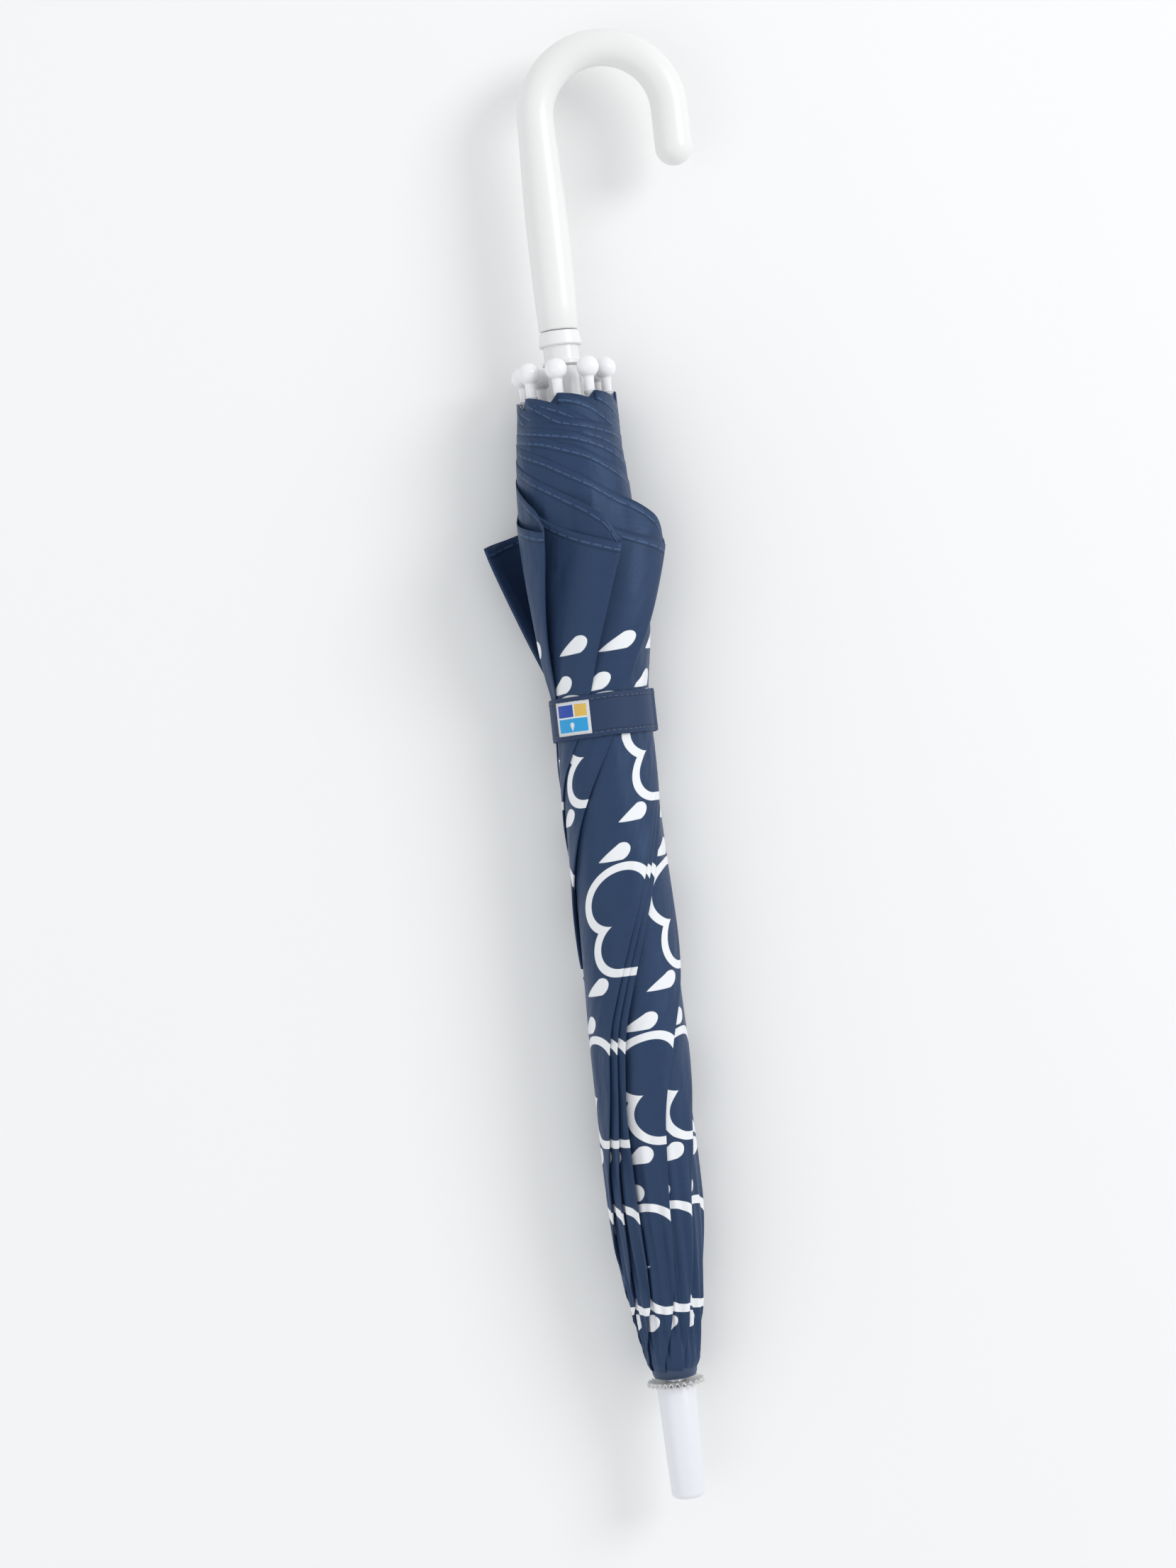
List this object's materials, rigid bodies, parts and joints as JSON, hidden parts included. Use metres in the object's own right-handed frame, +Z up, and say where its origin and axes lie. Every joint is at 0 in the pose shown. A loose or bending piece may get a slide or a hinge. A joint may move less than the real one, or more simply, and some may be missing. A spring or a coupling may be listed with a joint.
{
  "type": "children's umbrella",
  "caption": "Children's stick umbrella, rolled and strapped, with a hooked handle, a sliding runner, jointed ribs and stretchers, ball tips and a raindrop-print canopy.",
  "frame": {"origin": "centre of the flat end of the ferrule, on the shaft's axis", "axes": "+Y up the shaft from the ferrule to the crook, +X the side the crook opens to, +Z up as the umbrella lies"},
  "size_m": [0.1097, 0.66, 0.0592],
  "materials": {
    "shaft_steel": "polished",
    "white_plastic": "smooth",
    "ferrule_plastic": "smooth",
    "frosted_plastic": "frosted",
    "crown_plastic": "moulded",
    "wire_steel": "drawn",
    "spring_steel": "stamped",
    "rib_steel": "plated",
    "tip_plastic": "smooth",
    "canopy_cloth": "satin weave",
    "hook_tape": "hooks",
    "loop_tape": "loops",
    "label_weave": "woven"
  },
  "bodies": {
    "root": {"shaft": "shaft_steel", "handle": "white_plastic", "ferrule": "ferrule_plastic", "crown_washer": "frosted_plastic", "crown": "crown_plastic", "crown_ring": "wire_steel", "crown_pin": "wire_steel", "stop_pin": "wire_steel"},
    "runner": {"runner": "white_plastic", "runner_ring": "wire_steel"},
    "top_catch": {"top_catch": "spring_steel"},
    "bottom_catch": {"bottom_catch": "spring_steel"},
    "rib_1": {"rib_1": "rib_steel", "rivet_1": "wire_steel", "tip_1": "tip_plastic"},
    "stretcher_1": {"stretcher_1": "rib_steel"},
    "panel_1": {"canopy_panel_1": "canopy_cloth"},
    "rib_2": {"rib_2": "rib_steel", "rivet_2": "wire_steel", "tip_2": "tip_plastic"},
    "stretcher_2": {"stretcher_2": "rib_steel"},
    "panel_2": {"canopy_panel_2": "canopy_cloth"},
    "rib_3": {"rib_3": "rib_steel", "rivet_3": "wire_steel", "tip_3": "tip_plastic"},
    "stretcher_3": {"stretcher_3": "rib_steel"},
    "panel_3": {"canopy_panel_3": "canopy_cloth"},
    "rib_4": {"rib_4": "rib_steel", "rivet_4": "wire_steel", "tip_4": "tip_plastic"},
    "stretcher_4": {"stretcher_4": "rib_steel"},
    "panel_4": {"canopy_panel_4": "canopy_cloth"},
    "rib_5": {"rib_5": "rib_steel", "rivet_5": "wire_steel", "tip_5": "tip_plastic"},
    "stretcher_5": {"stretcher_5": "rib_steel"},
    "panel_5": {"canopy_panel_5": "canopy_cloth"},
    "rib_6": {"rib_6": "rib_steel", "rivet_6": "wire_steel", "tip_6": "tip_plastic"},
    "stretcher_6": {"stretcher_6": "rib_steel"},
    "panel_6": {"canopy_panel_6": "canopy_cloth"},
    "rib_7": {"rib_7": "rib_steel", "rivet_7": "wire_steel", "tip_7": "tip_plastic"},
    "stretcher_7": {"stretcher_7": "rib_steel"},
    "panel_7": {"canopy_panel_7": "canopy_cloth"},
    "rib_8": {"rib_8": "rib_steel", "rivet_8": "wire_steel", "tip_8": "tip_plastic", "strap": "canopy_cloth", "strap_hook_patch": "hook_tape", "strap_loop_patch": "loop_tape", "strap_label": "label_weave"},
    "stretcher_8": {"stretcher_8": "rib_steel"},
    "panel_8": {"canopy_panel_8": "canopy_cloth"}
  },
  "joints": [
    {"name": "open_umbrella", "type": "hinge", "parent": "root", "child": "rib_1", "pos_m": [-0.0013, 0.064, 0.00739], "axis": [0.9848, 0, 0.1736], "range_deg": [0, 63.52], "deforming": ["strap", "strap_hook_patch", "strap_loop_patch", "strap_label"]},
    {"name": "rib_2_hinge", "type": "hinge", "parent": "root", "child": "rib_2", "pos_m": [0.0043, 0.064, 0.00614], "axis": [0.8192, 0, -0.5736], "range_deg": [0, 63.57]},
    {"name": "rib_3_hinge", "type": "hinge", "parent": "root", "child": "rib_3", "pos_m": [0.00739, 0.064, 0.0013], "axis": [0.1736, 0, -0.9848], "range_deg": [0, 63.57]},
    {"name": "rib_4_hinge", "type": "hinge", "parent": "root", "child": "rib_4", "pos_m": [0.00614, 0.064, -0.0043], "axis": [-0.5736, 0, -0.8192], "range_deg": [0, 63.57]},
    {"name": "rib_5_hinge", "type": "hinge", "parent": "root", "child": "rib_5", "pos_m": [0.0013, 0.064, -0.00739], "axis": [-0.9848, 0, -0.1736], "range_deg": [0, 63.57]},
    {"name": "rib_6_hinge", "type": "hinge", "parent": "root", "child": "rib_6", "pos_m": [-0.0043, 0.064, -0.00614], "axis": [-0.8192, 0, 0.5736], "range_deg": [0, 63.57]},
    {"name": "rib_7_hinge", "type": "hinge", "parent": "root", "child": "rib_7", "pos_m": [-0.00739, 0.064, -0.0013], "axis": [-0.1736, 0, 0.9848], "range_deg": [0, 63.57]},
    {"name": "rib_8_hinge", "type": "hinge", "parent": "root", "child": "rib_8", "pos_m": [-0.00614, 0.064, 0.0043], "axis": [0.5736, 0, 0.8192], "range_deg": [0, 63.57]},
    {"name": "stretcher_1_hinge", "type": "hinge", "parent": "rib_1", "child": "stretcher_1", "pos_m": [-0.00223, 0.26993, 0.01264], "axis": [0.9848, 0, 0.1736], "range_deg": [-127.13, 0]},
    {"name": "stretcher_2_hinge", "type": "hinge", "parent": "rib_2", "child": "stretcher_2", "pos_m": [0.00736, 0.26993, 0.01051], "axis": [0.8192, 0, -0.5736], "range_deg": [-127.13, 0]},
    {"name": "stretcher_3_hinge", "type": "hinge", "parent": "rib_3", "child": "stretcher_3", "pos_m": [0.01264, 0.26993, 0.00223], "axis": [0.1736, 0, -0.9848], "range_deg": [-127.13, 0]},
    {"name": "stretcher_4_hinge", "type": "hinge", "parent": "rib_4", "child": "stretcher_4", "pos_m": [0.01051, 0.26993, -0.00736], "axis": [-0.5736, 0, -0.8192], "range_deg": [-127.13, 0]},
    {"name": "stretcher_5_hinge", "type": "hinge", "parent": "rib_5", "child": "stretcher_5", "pos_m": [0.00223, 0.26993, -0.01264], "axis": [-0.9848, 0, -0.1736], "range_deg": [-127.13, 0]},
    {"name": "stretcher_6_hinge", "type": "hinge", "parent": "rib_6", "child": "stretcher_6", "pos_m": [-0.00736, 0.26993, -0.01051], "axis": [-0.8192, 0, 0.5736], "range_deg": [-127.13, 0]},
    {"name": "stretcher_7_hinge", "type": "hinge", "parent": "rib_7", "child": "stretcher_7", "pos_m": [-0.01264, 0.26993, -0.00223], "axis": [-0.1736, 0, 0.9848], "range_deg": [-127.13, 0]},
    {"name": "stretcher_8_hinge", "type": "hinge", "parent": "rib_8", "child": "stretcher_8", "pos_m": [-0.01051, 0.26993, 0.00736], "axis": [0.5736, 0, 0.8192], "range_deg": [-127.13, 0]},
    {"name": "runner_hinge", "type": "hinge", "parent": "stretcher_1", "child": "runner", "pos_m": [-0.0013, 0.47586, 0.00739], "axis": [0.9848, 0, 0.1736], "range_deg": [0, 63.57]},
    {"name": "panel_1_fold", "type": "hinge", "parent": "rib_1", "child": "panel_1", "pos_m": [0.00156, 0.06349, 0.00705], "axis": [-0.1879, -0.4964, -0.8475], "range_deg": [0, 46.53], "deforming": ["canopy_panel_1"]},
    {"name": "panel_2_fold", "type": "hinge", "parent": "rib_2", "child": "panel_2", "pos_m": [0.00609, 0.06349, 0.00388], "axis": [-0.7321, -0.4964, -0.4664], "range_deg": [0, 46.53], "deforming": ["canopy_panel_2"]},
    {"name": "panel_3_fold", "type": "hinge", "parent": "rib_3", "child": "panel_3", "pos_m": [0.00705, 0.06349, -0.00156], "axis": [-0.8475, -0.4964, 0.1879], "range_deg": [0, 46.53], "deforming": ["canopy_panel_3"]},
    {"name": "panel_4_fold", "type": "hinge", "parent": "rib_4", "child": "panel_4", "pos_m": [0.00388, 0.06349, -0.00609], "axis": [-0.4664, -0.4964, 0.7321], "range_deg": [0, 46.53], "deforming": ["canopy_panel_4"]},
    {"name": "panel_5_fold", "type": "hinge", "parent": "rib_5", "child": "panel_5", "pos_m": [-0.00156, 0.06349, -0.00705], "axis": [0.1879, -0.4964, 0.8475], "range_deg": [0, 46.53], "deforming": ["canopy_panel_5"]},
    {"name": "panel_6_fold", "type": "hinge", "parent": "rib_6", "child": "panel_6", "pos_m": [-0.00609, 0.06349, -0.00388], "axis": [0.7321, -0.4964, 0.4664], "range_deg": [0, 46.53], "deforming": ["canopy_panel_6"]},
    {"name": "panel_7_fold", "type": "hinge", "parent": "rib_7", "child": "panel_7", "pos_m": [-0.00705, 0.06349, 0.00156], "axis": [0.8475, -0.4964, -0.1879], "range_deg": [0, 46.53], "deforming": ["canopy_panel_7"]},
    {"name": "panel_8_fold", "type": "hinge", "parent": "rib_8", "child": "panel_8", "pos_m": [-0.00388, 0.06349, 0.00609], "axis": [0.4664, -0.4964, -0.7321], "range_deg": [0, 46.53], "deforming": ["canopy_panel_8"]},
    {"name": "top_catch_press", "type": "hinge", "parent": "root", "child": "top_catch", "pos_m": [0.0019, 0.28812, 0], "axis": [0, 0, -1], "range_deg": [0, 3.1], "stiffness_Nm_per_rad": 1.2, "deforming": ["top_catch"]},
    {"name": "bottom_catch_press", "type": "hinge", "parent": "root", "child": "bottom_catch", "pos_m": [0.0019, 0.52586, 0], "axis": [0, 0, -1], "range_deg": [0, 3.1], "stiffness_Nm_per_rad": 1.2, "deforming": ["bottom_catch"]}
  ],
  "couplings": [
    {"joint": "rib_2_hinge", "follows": "open_umbrella", "ratio": 1},
    {"joint": "rib_3_hinge", "follows": "open_umbrella", "ratio": 1},
    {"joint": "rib_4_hinge", "follows": "open_umbrella", "ratio": 1},
    {"joint": "rib_5_hinge", "follows": "open_umbrella", "ratio": 1},
    {"joint": "rib_6_hinge", "follows": "open_umbrella", "ratio": 1},
    {"joint": "rib_7_hinge", "follows": "open_umbrella", "ratio": 1},
    {"joint": "rib_8_hinge", "follows": "open_umbrella", "ratio": 1},
    {"joint": "stretcher_1_hinge", "follows": "open_umbrella", "ratio": -2},
    {"joint": "stretcher_2_hinge", "follows": "open_umbrella", "ratio": -2},
    {"joint": "stretcher_3_hinge", "follows": "open_umbrella", "ratio": -2},
    {"joint": "stretcher_4_hinge", "follows": "open_umbrella", "ratio": -2},
    {"joint": "stretcher_5_hinge", "follows": "open_umbrella", "ratio": -2},
    {"joint": "stretcher_6_hinge", "follows": "open_umbrella", "ratio": -2},
    {"joint": "stretcher_7_hinge", "follows": "open_umbrella", "ratio": -2},
    {"joint": "stretcher_8_hinge", "follows": "open_umbrella", "ratio": -2},
    {"joint": "runner_hinge", "follows": "open_umbrella", "ratio": 1},
    {"joint": "panel_1_fold", "follows": "open_umbrella", "ratio": 0.73178},
    {"joint": "panel_2_fold", "follows": "open_umbrella", "ratio": 0.73178},
    {"joint": "panel_3_fold", "follows": "open_umbrella", "ratio": 0.73178},
    {"joint": "panel_4_fold", "follows": "open_umbrella", "ratio": 0.73178},
    {"joint": "panel_5_fold", "follows": "open_umbrella", "ratio": 0.73178},
    {"joint": "panel_6_fold", "follows": "open_umbrella", "ratio": 0.73178},
    {"joint": "panel_7_fold", "follows": "open_umbrella", "ratio": 0.73178},
    {"joint": "panel_8_fold", "follows": "open_umbrella", "ratio": 0.73178}
  ]
}
